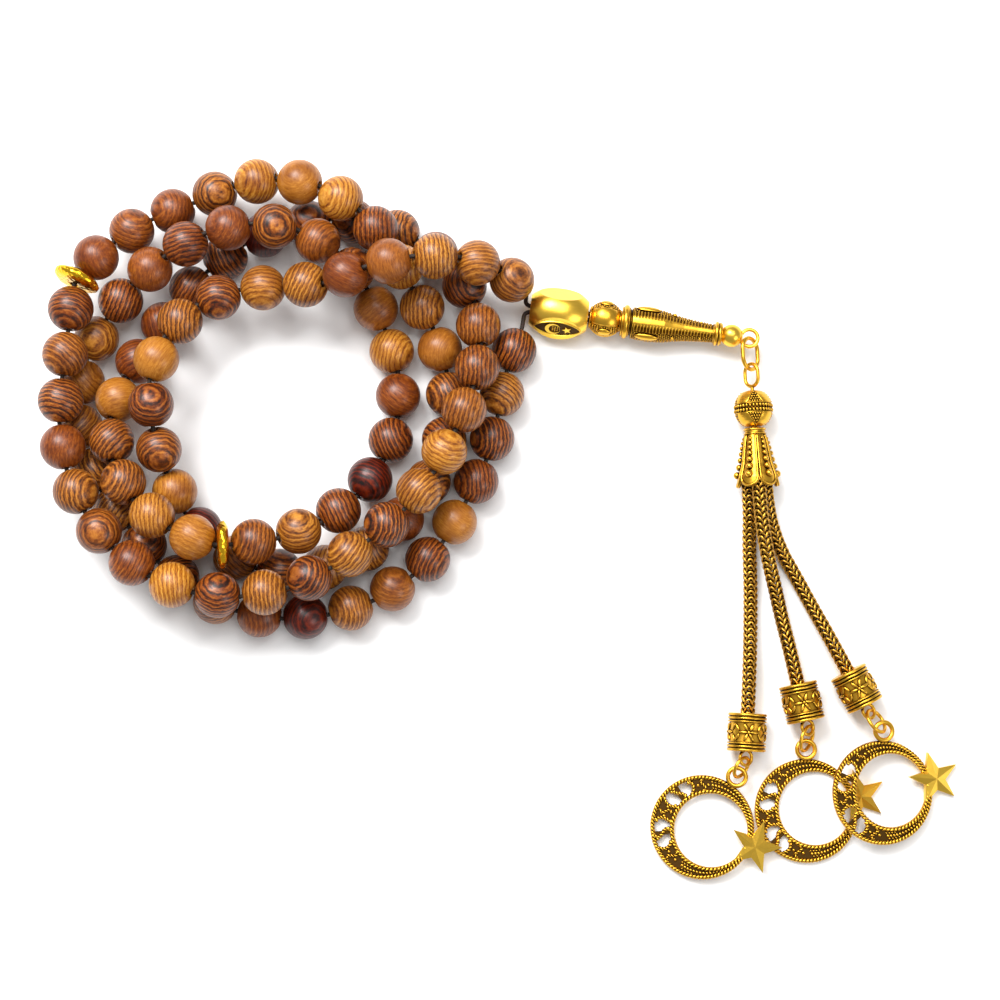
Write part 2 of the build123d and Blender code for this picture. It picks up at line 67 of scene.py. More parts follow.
CHAIN_ROUTES = (
    ((43.9, -2.5, 1.6), (44.1, -9.8, 1.4), (44.0, -17.2, 1.6), (43.6, -24.6, 3.4), (43.2, -32.2, 3.4)),
    ((46.6, -4.5, 4.9), (48.2, -10.6, 3.2), (49.5, -16.0, 1.8), (50.7, -21.6, 3.4), (51.9, -27.1, 3.4)),
    ((49.2, -3.5, 1.5), (52.1, -8.6, 1.4), (54.8, -13.8, 1.6), (57.8, -19.6, 3.4), (60.6, -25.0, 3.4)),
)


def place_of(joint):
    """Where a joint is, in millimetres."""
    return Vector(JOINTS[joint]["pos_m"]) / MM


def axis_of(joint):
    """The line that a joint turns about."""
    return Vector(JOINTS[joint]["axis"]).normalized()


# ---------------------------------------------------------------- mesh helpers
def joined(*parts):
    """One (points, faces) pair out of several."""
    points, faces = [], []
    for more, those in parts:
        base = len(points)
        points += more
        faces += [[i + base for i in f] for f in those]
    return points, faces


def moved(part, matrix):
    return [matrix @ Vector(p) for p in part[0]], part[1]


def frame_at(origin, axis):
    """A placement whose Z follows axis and whose X is level."""
    z = Vector(axis).normalized()
    x = UP.cross(z).normalized()
    y = z.cross(x)
    matrix = Matrix((x, y, z)).transposed().to_4x4()
    matrix.translation = origin
    return matrix


def lathe(profile, segments=64, closed=False, wobble=None):
    """The (radius, z) profile turned about Z. wobble(angle, radius, z) may change the radius."""
    points, faces = [], []
    count = len(profile)
    for s in range(segments):
        a = 2 * math.pi * s / segments
        for r, z in profile:
            reach = wobble(a, r, z) if wobble else r
            points.append(Vector((reach * math.cos(a), reach * math.sin(a), z)))
    for s in range(segments):
        here, there = s * count, (s + 1) % segments * count
        for i in range(count if closed else count - 1):
            k = (i + 1) % count
            faces.append([here + i, there + i, there + k, here + k])
    return points, faces


def swept(path, radius, sides=8, closed=False):
    """A round wire along points. Its ends are closed unless the path is."""
    path = [Vector(p) for p in path]
    path = path[:1] + [b for a, b in zip(path, path[1:]) if (b - a).length > 1e-4]
    count = len(path)
    points, faces = [], []
    normal = None
    for i, p in enumerate(path):
        back = path[i - 1] if (i or closed) else p
        ahead = path[(i + 1) % count] if (i < count - 1 or closed) else p
        along = (ahead - back).normalized()
        if normal is None:
            normal = along.orthogonal().normalized()
        normal = (normal - along * normal.dot(along)).normalized()
        side = along.cross(normal)
        reach = radius(i / max(count - 1, 1)) if callable(radius) else radius
        for k in range(sides):
            a = 2 * math.pi * k / sides
            points.append(p + normal * reach * math.cos(a) + side * reach * math.sin(a))
    for i in range(count if closed else count - 1):
        here, there = i * sides, (i + 1) % count * sides
        for k in range(sides):
            n = (k + 1) % sides
            faces.append([here + k, here + n, there + n, there + k])
    if not closed:
        faces.append(list(reversed(range(sides))))
        faces.append([(count - 1) * sides + k for k in range(sides)])
    return points, faces


def unit_ball(detail):
    made = bmesh.new()
    bmesh.ops.create_icosphere(made, subdivisions=detail, radius=1)
    made.verts.index_update()
    part = [v.co.copy() for v in made.verts], [[v.index for v in f.verts] for f in made.faces]
    made.free()
    return part


BALLS = {detail: unit_ball(detail) for detail in (2, 3, 4)}


def ball(middle, radius, detail=2, squash=(1, 1, 1)):
    """A ball, or with squash an ellipsoid."""
    points = [Vector(middle) + Vector([c * radius * s for c, s in zip(p, squash)]) for p in BALLS[detail][0]]
    return points, BALLS[detail][1]


def torus(radius, wire, segments=64, sides=12):
    circle = [(radius * math.cos(a), radius * math.sin(a), 0)
              for a in (2 * math.pi * i / segments for i in range(segments))]
    return swept(circle, wire, sides, closed=True)


def rope(circle_radius, middle, strand, turns, height):
    """Two strands twisted round each other along a circle."""
    parts = []
    steps = turns * 10
    for phase in (0.0, math.pi):
        path = []
        for i in range(steps):
            a = 2 * math.pi * i / steps
            twist = turns * a + phase
            r = circle_radius + strand * 0.85 * math.cos(twist)
            path.append((middle + r * math.cos(a), r * math.sin(a), height + strand * 0.85 * math.sin(twist)))
        parts.append(swept(path, strand, 6, closed=True))
    return joined(*parts)


def add(name, part, material, body=None, stands_for=(), smooth=True):
    """Makes a piece from millimetre points, riding on a body."""
    mesh = bpy.data.meshes.new(name)
    mesh.from_pydata([tuple(Vector(p) * MM) for p in part[0]], [], part[1])
    mesh.update()
    tidy = bmesh.new()
    tidy.from_mesh(mesh)
    bmesh.ops.recalc_face_normals(tidy, faces=tidy.faces)
    tidy.to_mesh(mesh)
    tidy.free()
    mesh.polygons.foreach_set("use_smooth", [smooth] * len(mesh.polygons))
    piece = bpy.data.objects.new(name, mesh)
    bpy.context.scene.collection.objects.link(piece)
    mesh.materials.append(material)
    if body:
        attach(piece, body)
    if stands_for:
        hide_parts(*stands_for)
    return piece


# ---------------------------------------------------------------- materials
def linear(code):
    """A #rrggbb colour as linear RGBA."""
    parts = [int(code[i : i + 2], 16) / 255 for i in (1, 3, 5)]
    return [c / 12.92 if c <= 0.04045 else ((c + 0.055) / 1.055) ** 2.4 for c in parts] + [1.0]


def new_material(name, colour, **values):
    mat = bpy.data.materials.new(name)
    mat.use_nodes = True
    shader = mat.node_tree.nodes["Principled BSDF"]
    shader.inputs["Base Color"].default_value = linear(colour)
    for key, value in values.items():
        shader.inputs[key.replace("_", " ")].default_value = value
    return mat, mat.node_tree, shader


def node(tree, kind, inputs=(), **settings):
    made = tree.nodes.new(kind)
    for key, value in settings.items():
        setattr(made, key, value)
    for key, value in dict(inputs).items():
        if isinstance(value, bpy.types.NodeSocket):
            tree.links.new(value, made.inputs[key])
        else:
            made.inputs[key].default_value = value
    return made


def ramp(tree, fac, stops):
    made = node(tree, "ShaderNodeValToRGB", {"Fac": fac})
    band = made.color_ramp
    while len(band.elements) < len(stops):
        band.elements.new(0.5)
    for element, (at, colour) in zip(band.elements, stops):
        element.position = at
        element.color = linear(colour)
    return made.outputs["Color"]


def maths(tree, operation, a, b=0.0, c=0.0, clamp=False):
    return node(tree, "ShaderNodeMath", {0: a, 1: b, 2: c}, operation=operation, use_clamp=clamp).outputs[0]


def blend_colour(tree, fac, a, b, mode="MIX"):
    made = node(tree, "ShaderNodeMix", {}, data_type="RGBA", blend_type=mode)
    for socket, value in ((made.inputs[0], fac), (made.inputs[6], a), (made.inputs[7], b)):
        if isinstance(value, bpy.types.NodeSocket):
            tree.links.new(value, socket)
        else:
            socket.default_value = value
    return made.outputs[2]


def wood():
    """Layered dark and tan wood. Each bead carries its own turned coordinates in 'grain', a 'tone' from
    -1, deep red-brown, to 1, light golden, and how 'plain' it is: 1 has hardly any lines."""
    mat, tree, shader = new_material("wenge_wood", "#6e3412", Coat_Weight=0.12, Coat_Roughness=0.2,
                                     Specular_IOR_Level=0.35)
    grain = node(tree, "ShaderNodeAttribute", attribute_name="grain").outputs["Vector"]
    tone = node(tree, "ShaderNodeAttribute", attribute_name="tone").outputs["Fac"]
    plain = node(tree, "ShaderNodeAttribute", attribute_name="plain").outputs["Fac"]
    coarse = node(tree, "ShaderNodeTexWave", {"Vector": grain, "Scale": 0.42, "Distortion": 5.0,
                  "Detail": 3.0, "Detail Scale": 1.0, "Detail Roughness": 0.6},
                  bands_direction="X").outputs["Fac"]
    fine = node(tree, "ShaderNodeTexWave", {"Vector": grain, "Scale": 0.85, "Distortion": 5.0, "Detail": 3.0,
                "Detail Scale": 1.8, "Detail Roughness": 0.65}, bands_direction="X").outputs["Fac"]
    stretched = node(tree, "ShaderNodeMapping", {"Vector": grain, "Scale": (4.0, 1.0, 0.5)}).outputs["Vector"]
    fleck = node(tree, "ShaderNodeTexNoise", {"Vector": stretched, "Scale": 1.5, "Detail": 4.0,
                 "Roughness": 0.7}).outputs["Fac"]
    patch = node(tree, "ShaderNodeTexNoise", {"Vector": grain, "Scale": 0.2, "Detail": 2.0}).outputs["Fac"]
    lines = maths(tree, "MULTIPLY_ADD", coarse, 0.5, maths(tree, "MULTIPLY", fine, 0.27))
    lines = maths(tree, "MULTIPLY_ADD", maths(tree, "SUBTRACT", fleck, 0.45), 0.85, lines, clamp=True)
    even = maths(tree, "MULTIPLY_ADD", maths(tree, "SUBTRACT", fleck, 0.5), 0.9, 0.52, clamp=True)
    lines = maths(tree, "ADD", maths(tree, "MULTIPLY", lines, maths(tree, "SUBTRACT", 1.0, plain)),
                  maths(tree, "MULTIPLY", even, plain))
    dark = ramp(tree, lines, [(0.1, "#1b0903"), (0.3, "#4a1f07"), (0.52, "#823f0f"), (0.84, "#b56e27")])
    light = ramp(tree, lines, [(0.04, "#3d1a06"), (0.2, "#80430c"), (0.44, "#ad6c1c"), (0.82, "#d3983e")])
    mixed = blend_colour(tree, maths(tree, "MULTIPLY", tone, 1.0, clamp=True), dark, light)
    deep = maths(tree, "MULTIPLY", tone, -1.0, clamp=True)
    mixed = blend_colour(tree, deep, mixed, blend_colour(tree, 1.0, mixed, linear("#a8604c"), "MULTIPLY"))
    shade = maths(tree, "MULTIPLY_ADD", patch, 1.5, 0.15, clamp=True)
    shade_colour = ramp(tree, shade, [(0.5, "#946038"), (0.95, "#ffffff")])
    tree.links.new(blend_colour(tree, 0.7, mixed, shade_colour, "MULTIPLY"), shader.inputs["Base Color"])
    rough = maths(tree, "MULTIPLY_ADD", lines, -0.14, 0.46)
    tree.links.new(rough, shader.inputs["Roughness"])
    bump = node(tree, "ShaderNodeBump", {"Height": lines, "Strength": 0.2, "Distance": 0.00012})
    tree.links.new(bump.outputs["Normal"], shader.inputs["Normal"])
    return mat


def gold(name, bright, mid, dark, reach, rough, wear=0.5, hammer=0.0, stops=(0.5, 0.72, 0.93)):
    """Gold plate, bright where it is raised and dark brown in its recesses."""
    mat, tree, shader = new_material(name, mid, Metallic=1.0)
    place = node(tree, "ShaderNodeTexCoord").outputs["Object"]
    shut = node(tree, "ShaderNodeAmbientOcclusion", {"Distance": reach * MM}, samples=12, only_local=True)
    cloud = node(tree, "ShaderNodeTexNoise", {"Vector": place, "Scale": 900.0, "Detail": 4.0,
                 "Roughness": 0.6}).outputs["Fac"]
    open_part = maths(tree, "MULTIPLY_ADD", maths(tree, "SUBTRACT", cloud, 0.5), 0.5 * wear,
                      shut.outputs["AO"], clamp=True)
    colour = ramp(tree, open_part, list(zip(stops, (dark, mid, bright))))
    tree.links.new(colour, shader.inputs["Base Color"])
    rough_here = maths(tree, "MULTIPLY_ADD", open_part, -0.28, rough + 0.28)
    tree.links.new(maths(tree, "MULTIPLY_ADD", cloud, 0.12, rough_here), shader.inputs["Roughness"])
    dents = node(tree, "ShaderNodeTexVoronoi", {"Vector": place, "Scale": 1300.0 if hammer else 2600.0})
    bump = node(tree, "ShaderNodeBump", {"Height": dents.outputs["Distance"], "Strength": 0.12 + hammer,
                "Distance": 0.00015 if hammer else 0.00004})
    tree.links.new(bump.outputs["Normal"], shader.inputs["Normal"])
    return mat


def thread():
    """Dark waxed cord."""
    mat, tree, shader = new_material("waxed_cord", "#22150d", Roughness=0.7)
    place = node(tree, "ShaderNodeTexCoord").outputs["Object"]
    twist = node(tree, "ShaderNodeTexNoise", {"Vector": place, "Scale": 4200.0, "Detail": 2.0})
    tree.links.new(ramp(tree, twist.outputs["Fac"], [(0.35, "#120a06"), (0.7, "#3a2618")]),
                   shader.inputs["Base Color"])
    bump = node(tree, "ShaderNodeBump", {"Height": twist.outputs["Fac"], "Strength": 0.4,
                "Distance": 0.00005})
    tree.links.new(bump.outputs["Normal"], shader.inputs["Normal"])
    return mat


WOOD = wood()
ANTIQUE = gold("antique_gold", "#e0ac38", "#946318", "#120a03", 0.75, 0.24, stops=(0.54, 0.74, 0.94))
BRIGHT = gold("bright_gold", "#f6c84a", "#d9a532", "#7a5416", 0.5, 0.24, wear=0.3, stops=(0.3, 0.55, 0.85))
WOVEN = gold("woven_gold", "#c8963a", "#6e4814", "#120a04", 0.8, 0.26, stops=(0.42, 0.66, 0.92))
HAMMERED = gold("hammered_gold", "#f0bc28", "#c88f18", "#6e4a0c", 0.4, 0.14, wear=0.3, hammer=0.7,
                stops=(0.3, 0.55, 0.85))
PATINA = gold("dark_patina", "#4a3416", "#2a1c0c", "#0e0804", 0.4, 0.45)
CORD = thread()


# ---------------------------------------------------------------- camera, light and table
LENS, CAMERA_LEAN, CAMERA_AWAY = 85, 5.0, 0.411  # millimetres, degrees from straight down, metres


def stage():
    """The camera, the white table and the soft lights."""
    camera_data = bpy.data.cameras.new("camera")
    camera_data.lens = LENS
    camera_data.sensor_width = 36
    camera = bpy.data.objects.new("camera", camera_data)
    bpy.context.scene.collection.objects.link(camera)
    aim = Vector((0.0, 3.1, 5.0)) * MM
    lean = math.radians(CAMERA_LEAN)
    camera.location = aim + Vector((0, -math.sin(lean), math.cos(lean))) * CAMERA_AWAY
    camera.rotation_euler = (lean, 0, 0)
    bpy.context.scene.camera = camera

    mesh = bpy.data.meshes.new("table_top")
    mesh.from_pydata([(-2, -2, 0), (2, -2, 0), (2, 2, 0), (-2, 2, 0)], [], [[0, 1, 2, 3]])
    table = bpy.data.objects.new("table_top", mesh)
    bpy.context.scene.collection.objects.link(table)
    mat, tree, shader = new_material("white_table", "#f4f4f4", Roughness=0.6)
    mesh.materials.append(mat)

    for name, spot, size, power in (
        ("key", (-0.28, 0.4, 0.62), 0.35, 8.0),
        ("fill", (0.55, -0.35, 0.5), 0.35, 1.6),
        ("top", (0.08, 0.3, 0.9), 0.55, 4.5),
    ):
        data = bpy.data.lights.new(name, "AREA")
        data.size = size
        data.energy = power
        light = bpy.data.objects.new(name, data)
        bpy.context.scene.collection.objects.link(light)
        light.location = spot
        light.rotation_euler = (Vector(spot)).to_track_quat("Z", "Y").to_euler()
    world = bpy.data.worlds.new("studio")
    world.use_nodes = True
    world.node_tree.nodes["Background"].inputs["Color"].default_value = (1, 1, 1, 1)
    world.node_tree.nodes["Background"].inputs["Strength"].default_value = 0.4
    bpy.context.scene.world = world
    bpy.context.scene.view_settings.view_transform = "Standard"


# ---------------------------------------------------------------- beads
BEAD_SEED, DENT_SEED = 99, 7


def loose_parts(mesh):
    """Lists of vertex numbers, one for each separate shell, joining points that share a place."""
    places = {}
    parent = list(range(len(mesh.vertices)))

    def top(i):
        while parent[i] != i:
            parent[i] = parent[parent[i]]
            i = parent[i]
        return i

    for v in mesh.vertices:
        key = tuple(round(c * 1e6) for c in v.co)
        parent[top(v.index)] = top(places.setdefault(key, v.index))
    for edge in mesh.edges:
        parent[top(edge.vertices[0])] = top(edge.vertices[1])
    groups = {}
    for i in range(len(mesh.vertices)):
        groups.setdefault(top(i), []).append(i)
    return list(groups.values())


def lines_of(name):
    """The middle and hole direction of every bead in a CAD node, from its mesh."""
    mesh = frame["nodes"][name].data
    groups = loose_parts(mesh)
    owner = {i: k for k, group in enumerate(groups) for i in group}
    facing = [{} for _ in groups]
    for p in mesh.polygons:
        n = p.normal if (p.normal.x, p.normal.y, p.normal.z) > (0, 0, 0) else -p.normal
        key = tuple(round(c, 2) for c in n)
        store = facing[owner[p.vertices[0]]].setdefault(key, [0.0, Vector()])
        store[0] += p.area
        store[1] += n * p.area
    found = []
    for group, faces in zip(groups, facing):
        points = [mesh.vertices[i].co for i in group]
        low = Vector([min(p[k] for p in points) for k in range(3)])
        high = Vector([max(p[k] for p in points) for k in range(3)])
        axis = max(faces.values(), key=lambda store: store[0])[1].normalized()
        found.append(((low + high) / 2 / MM, axis))
    return found


def bead_shape():
    """A ball with small flats at the ends of its bore, whose mouths are rounded."""
    bore, half, wide = BORE / 2, BEAD_LENGTH / 2, BEAD_ACROSS / 2
    profile = [(bore, z) for z in (-half + 0.25, 0, half - 0.25)]
    profile += [(bore + 0.06, half - 0.1), (bore + 0.18, half - 0.02), (bore + 0.35, half)]
    first = math.asin(1.35 / wide)
    steps = 26
    for i in range(steps + 1):
        a = first + (math.pi - 2 * first) * i / steps
        profile.append((wide * math.sin(a), half * 1.0 * math.cos(a) / math.cos(first)))
    profile += [(bore + 0.35, -half), (bore + 0.18, -half + 0.02), (bore + 0.06, -half + 0.1)]
    return lathe(profile, 48, closed=True)


def grain_for(chance):
    """A turn for one bead's wood, its offset and its tone."""
    turn = Matrix.Rotation(chance.uniform(0, 2 * math.pi), 3, Vector(
        (chance.gauss(0, 1), chance.gauss(0, 1), chance.gauss(0, 1))).normalized())
    offset = Vector([chance.uniform(-80, 80) for _ in range(3)])
    tone = min(1.0, chance.betavariate(1.1, 2.0) * 1.5 - 0.35)
    if chance.random() < 0.07:
        tone = -1.0
    plain = chance.uniform(0.55, 0.9) if chance.random() < 0.22 else chance.uniform(0.0, 0.35)
    return turn, offset, tone, plain


def add_beads(name, lines, body, chance):
    shape = bead_shape()
    parts, grains, tones, plains = [], [], [], []
    for middle, axis in lines:
        matrix = frame_at(middle, axis) @ Matrix.Rotation(chance.uniform(0, 6.28), 4, "Z")
        part = moved(shape, matrix)
        parts.append(part)
        turn, offset, tone, plain = grain_for(chance)
        for p in part[0]:
            grains += list(turn @ (p - middle) + offset)
        tones += [tone] * len(part[0])
        plains += [plain] * len(part[0])
    piece = add(name, joined(*parts), WOOD, body, (name.replace("wood_", ""),))
    grain = piece.data.attributes.new("grain", "FLOAT_VECTOR", "POINT")
    grain.data.foreach_set("vector", grains)
    for word, values in (("tone", tones), ("plain", plains)):
        piece.data.attributes.new(word, "FLOAT", "POINT").data.foreach_set("value", values)
    return piece


def beads():
    """The wooden beads: one piece for each CAD node that holds them."""
    chance = random.Random(BEAD_SEED)
    for name in sorted(frame["nodes"]):
        if name.startswith("bead"):
            body = name if name.startswith("bead_") else "string_group"
            add_beads("wood_" + name, lines_of(name), body, chance)


def dividers():
    """The two hammered discs between the sections of beads."""
    chance = random.Random(DENT_SEED)
    half, wide = DIVIDER_LENGTH / 2, DIVIDER_ACROSS / 2
    profile = [(BORE / 2, -half), (BORE / 2, half), (1.4, half), (2.4, half * 0.98), (3.3, half * 0.9),
               (3.8, half * 0.62), (wide, half * 0.3), (wide, -half * 0.3), (3.8, -half * 0.62),
               (3.3, -half * 0.9), (2.4, -half * 0.98), (1.4, -half)]
    for i in (1, 2):
        joint = f"turn_divider_{i}"
        dents = [(chance.uniform(0, 6.28), chance.uniform(-1, 1)) for _ in range(60)]

        def hammered(a, r, z):
            if r < 2:
                return r
            dip = sum(math.exp(-((math.remainder(a - b, 2 * math.pi) * 4) ** 2 + (z - c) ** 2 * 4) * 2)
                      for b, c in dents)
            return r - 0.16 * min(dip, 1.5)

        disc = lathe(profile, 90, closed=True, wobble=hammered)
        add(f"gold_divider_{i}", moved(disc, frame_at(place_of(joint), axis_of(joint))), HAMMERED,
            f"divider_{i}", (f"divider_{i}",))


# ---------------------------------------------------------------- chains
def spline_points(curve):
    """Points along a curve's own line, in millimetres."""
    mesh = bpy.data.meshes.new_from_object(curve)
    raw = [v.co.copy() / MM for v in mesh.vertices]
    bpy.data.meshes.remove(mesh)
    return raw


def walk(points, step):
    """Every step along a line of points: (place, direction)."""
    out, gone, due = [], 0.0, 0.0
    for a, b in zip(points, points[1:]):
        reach = (b - a).length
        while reach and gone + reach >= due:
            out.append((a.lerp(b, (due - gone) / reach), (b - a).normalized()))
            due += step
        gone += reach
    return out


def saddle(reach, rise, width, wire):
    """One woven link: a ring folded up into a U across the chain, its middle at the origin."""
    path = []
    for i in range(28):
        t = 2 * math.pi * i / 28
        bend = math.pi / 2 * math.cos(t)
        path.append((reach * math.sin(bend), width * math.sin(t), rise * (1 - math.cos(bend))))
    return swept(path, wire, 6, closed=True)


CHAIN_INSIDE = 1.6  # how far the woven links go on into the end cap
CHAIN_LENGTHS = (41.0, 36.9, 37.1)
LINK_PITCH = 0.56
FACES = (0, 45, 45)  # the turn of each chain's links about its line, in degrees


def chains():
    """The three woven chains, each a row of crossed links along its own route."""
    link = saddle(1.03, 1.25, 0.72, 0.24)
    down = tassel_down()
    for side, route, length, face in zip(SIDES, CHAIN_ROUTES, CHAIN_LENGTHS, FACES):
        start = place_of(f"chain_{side}_swing")
        course = [start, start + down * MOUTH_RUN] + [Vector(p) + HOME for p in route]
        data = bpy.data.curves.new(f"route_{side}", "CURVE")
        data.dimensions = "3D"
        data.resolution_u = 24
        line = data.splines.new("NURBS")
        line.points.add(len(course) - 1)
        for point, place in zip(line.points, course):
            point.co = tuple(place * MM) + (1.0,)
        line.order_u = 3
        line.use_endpoint_u = True
        guide = bpy.data.objects.new(f"route_{side}", data)
        points = spline_points(guide)
        bpy.data.objects.remove(guide)
        bpy.data.curves.remove(data)
        parts = []
        inside = points[-1] + (points[-1] - points[-2]).normalized() * CHAIN_INSIDE
        for i, (place, along) in enumerate(walk(points + [inside], LINK_PITCH)):
            turn = Matrix.Rotation(math.radians(face + 90 * (i % 2)), 4, "Z")
            parts.append(moved(link, frame_at(place, -along) @ turn))
        piece = add(f"woven_chain_{side}", joined(*parts), WOVEN, f"chain_{side}", (f"chain_{side}",))


# ---------------------------------------------------------------- turned metal pieces
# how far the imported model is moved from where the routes' points were set out
HOME = place_of("charm_middle_swing") - Vector((*MIDDLE_EYE, 0.02 + EYE_HEIGHT))
LEAN = math.radians(-7.6)
LINE = Vector((math.cos(LEAN), math.sin(LEAN), 0.0))
JUNCTION = Vector((10.6, 37.9, 3.6)) + HOME
HEAD_AT, BODY_AT = 8.2, 11.05
IMAME_OUTLINE = (
    (0.0, 2.6), (1.4, 2.6), (1.5, 2.3), (1.75, 2.3), (1.9, 2.8), (3.0, 2.95), (5.0, 3.05), (7.5, 2.85),
    (9.0, 2.5), (11.0, 2.15), (13.6, 1.85), (16.4, 1.65), (16.5, 1.9), (17.7, 1.9), (17.8, 1.8),
)


PANEL_UP = math.pi / 2  # the angle round a turned piece that faces up


def reach_at(outline, along):
    """The radius of a turned piece at a place along it."""
    for (a, ra), (b, rb) in zip(outline, outline[1:]):
        if a <= along <= b:
            return ra + (rb - ra) * (along - a) / (b - a)
    return outline[-1][1]


def on_side(radius, angle, height, out=0.0):
    return Vector(((radius + out) * math.cos(angle), (radius + out) * math.sin(angle), height))


def ridged(outline, step=0.12):
    """The outline with points close together."""
    out = []
    for (a, ra), (b, rb) in zip(outline, outline[1:]):
        pieces = max(1, math.ceil(math.hypot(b - a, rb - ra) / step))
        out += [(ra + (rb - ra) * i / pieces, a + (b - a) * i / pieces) for i in range(pieces)]
    return out + [(outline[-1][1], outline[-1][0])]


def oval_boss(radius, angle, height, wide, tall, slope=0.0, depth=0.35):
    """A smooth raised oval lying on a turned piece's side."""
    boss = ball((0, 0, 0), 1.0, 3, (depth, wide, tall))
    matrix = Matrix.Rotation(angle, 4, "Z") @ Matrix.Translation((radius, 0, height)) @ Matrix.Rotation(
        slope, 4, "Y")
    return moved(boss, matrix)


def panel_offset(a):
    """How far an angle is from the middle of the nearest smooth panel, in degrees."""
    return abs(math.degrees(math.remainder(a - PANEL_UP, 2 * math.pi / 3)))


def head_ball():
    """The imame's round head: three smooth panels, and between them granules round an oval boss."""
    half, bore = HEAD_BALL / 2, 1.3
    first = math.asin(bore / half)
    profile = [(bore, -half * math.cos(first) + 0.1), (bore, half * math.cos(first) - 0.1)]
    profile += [(half * math.sin(a), half * math.cos(a))
                for a in (first + (math.pi - 2 * first) * i / 40 for i in range(41))]

    def panels(a, r, z):
        off = panel_offset(a)
        if r <= bore or abs(z) > 2.6:
            return r
        if 32 < off < 37:
            return r - 0.18
        return r - (0.22 if off >= 37 else 0.0)

    parts = [lathe(profile, 144, closed=True, wobble=panels)]
    for i in range(3):
        angle = PANEL_UP + math.pi / 3 + i * 2 * math.pi / 3
        parts.append(oval_boss(half - 0.2, angle, 0.0, 0.8, 1.15, depth=0.38))
        for row in range(-6, 7):
            z = row * 0.4
            radius = math.sqrt(half**2 - z**2)
            for k in range(-3, 4):
                a = angle + (k + 0.5 * (row % 2)) * 0.4 / radius
                inside = ((a - angle) * radius / 1.0) ** 2 + (z / 1.35) ** 2 < 1
                if not inside and panel_offset(a) > 38:
                    parts.append(ball(on_side(radius, a, z, -0.2), 0.18))
    parts += [moved(torus(1.75, 0.16), Matrix.Translation((0, 0, s * 2.62))) for s in (1, -1)]
    add("imame_head_ball", moved(joined(*parts), frame_at(JUNCTION + LINE * HEAD_AT, LINE)), ANTIQUE, "imame",
        ("imame_head",))


def imame_body():
    """Three long ribbed panels, and between them granules round a smooth oval and a stud."""
    outline = [(z, r) for z, r in IMAME_OUTLINE]
    first, last = 2.0, 16.3

    def radius_of(z):
        return reach_at(outline, min(max(z, 0.0), IMAME_LENGTH))

    def ribs(a, r, z):
        off = panel_offset(a)
        if r <= 1.35 or not first <= z <= last:
            return r
        if off > 40:
            return r - 0.32
        shallow = min(1.0, max(0.0, (off - 10) / 14))
        return r - 0.3 * shallow * (0.5 - 0.5 * math.cos(2 * math.pi * z / 0.56)) - (0.12 if off > 38 else 0)

    profile = [(1.3, 0.0)] + ridged(outline, 0.08) + [(0.0, IMAME_LENGTH), (0.0, IMAME_LENGTH - 4),
                                                      (1.3, IMAME_LENGTH - 5)]
    parts = [lathe(profile, 144, closed=True, wobble=ribs)]
    for height, radius, wire in ((0.75, 2.5, 0.5), (16.8, 1.85, 0.3), (17.4, 1.8, 0.27)):
        parts.append(moved(torus(radius, wire), Matrix.Translation((0, 0, height))))
    for i in range(3):
        angle = PANEL_UP + math.pi / 3 + i * 2 * math.pi / 3
        parts.append(oval_boss(radius_of(4.6) - 0.22, angle, 4.6, 0.75, 2.1, depth=0.46))
        parts.append(ball(on_side(radius_of(9.2), angle, 9.2, -0.1), 0.34, 3))
        parts.append(ball(on_side(radius_of(14.0), angle, 14.0, -0.2), 0.28, 3))
        for row in range(40):
            z = 2.2 + row * 0.35
            if z > last:
                break
            radius = radius_of(z) - 0.3
            for k in range(-4, 5):
                a = angle + (k + 0.5 * (row % 2)) * 0.38 / radius
                across = (a - angle) * radius
                if (across / 0.9) ** 2 + ((z - 4.6) / 2.25) ** 2 > 1 and panel_offset(a) > 42:
                    parts.append(ball(on_side(radius, a, z, 0.02), 0.16))
    add("imame_worked_body", moved(joined(*parts), frame_at(JUNCTION + LINE * BODY_AT, LINE)), ANTIQUE,
        "imame", ("imame_body",))


